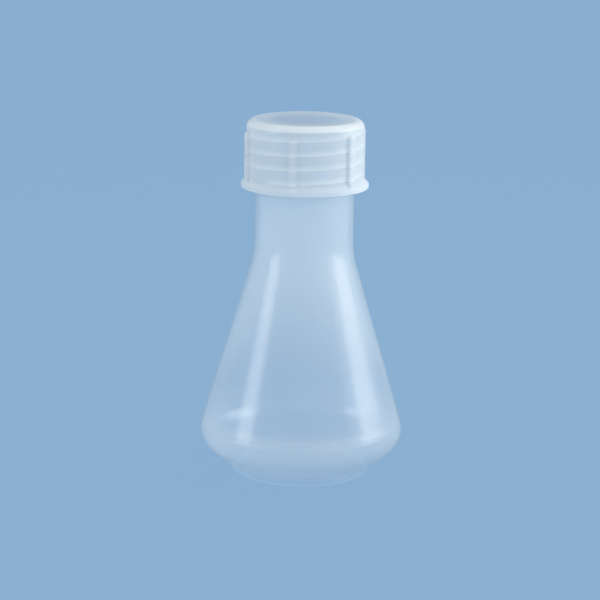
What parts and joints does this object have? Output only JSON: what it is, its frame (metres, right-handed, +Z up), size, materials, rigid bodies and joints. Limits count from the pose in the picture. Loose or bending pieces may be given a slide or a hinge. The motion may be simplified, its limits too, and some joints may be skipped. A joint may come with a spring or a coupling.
{
  "type": "conical flask with screw cap",
  "caption": "Conical laboratory flask in milky polypropylene: cylindrical threaded neck, cone-shaped body, chamfered heel and foot ring, closed by a ribbed screw cap over a sealing liner.",
  "frame": {"origin": "centre of the foot ring, on the surface that the flask stands on", "axes": "+Z up along the flask's and the cap's common axis, -Y is the front"},
  "size_m": [0.062, 0.062, 0.109],
  "materials": {
    "flask_plastic": "natural translucent polypropylene, smooth blow-moulded",
    "cap_plastic": "natural translucent polypropylene, injection-moulded satin gloss",
    "liner_plastic": "natural soft polyethylene, matt"
  },
  "bodies": {
    "flask": {"flask_body": "flask_plastic"},
    "liner": {"sealing_liner": "liner_plastic"},
    "cap": {"screw_cap": "cap_plastic"}
  },
  "joints": [
    {"name": "cap_lift", "type": "slide", "parent": "flask", "child": "liner", "axis": [0, 0, 1], "range_m": [0, 0.0255]},
    {"name": "cap_turn", "type": "hinge", "parent": "liner", "child": "cap", "pos_m": [0, 0, 0.0884], "axis": [0, 0, 1], "range_deg": [0, 2160]}
  ],
  "couplings": [
    {"joint": "cap_lift", "follows": "cap_turn", "m_per_rad": 0.00067377}
  ]
}
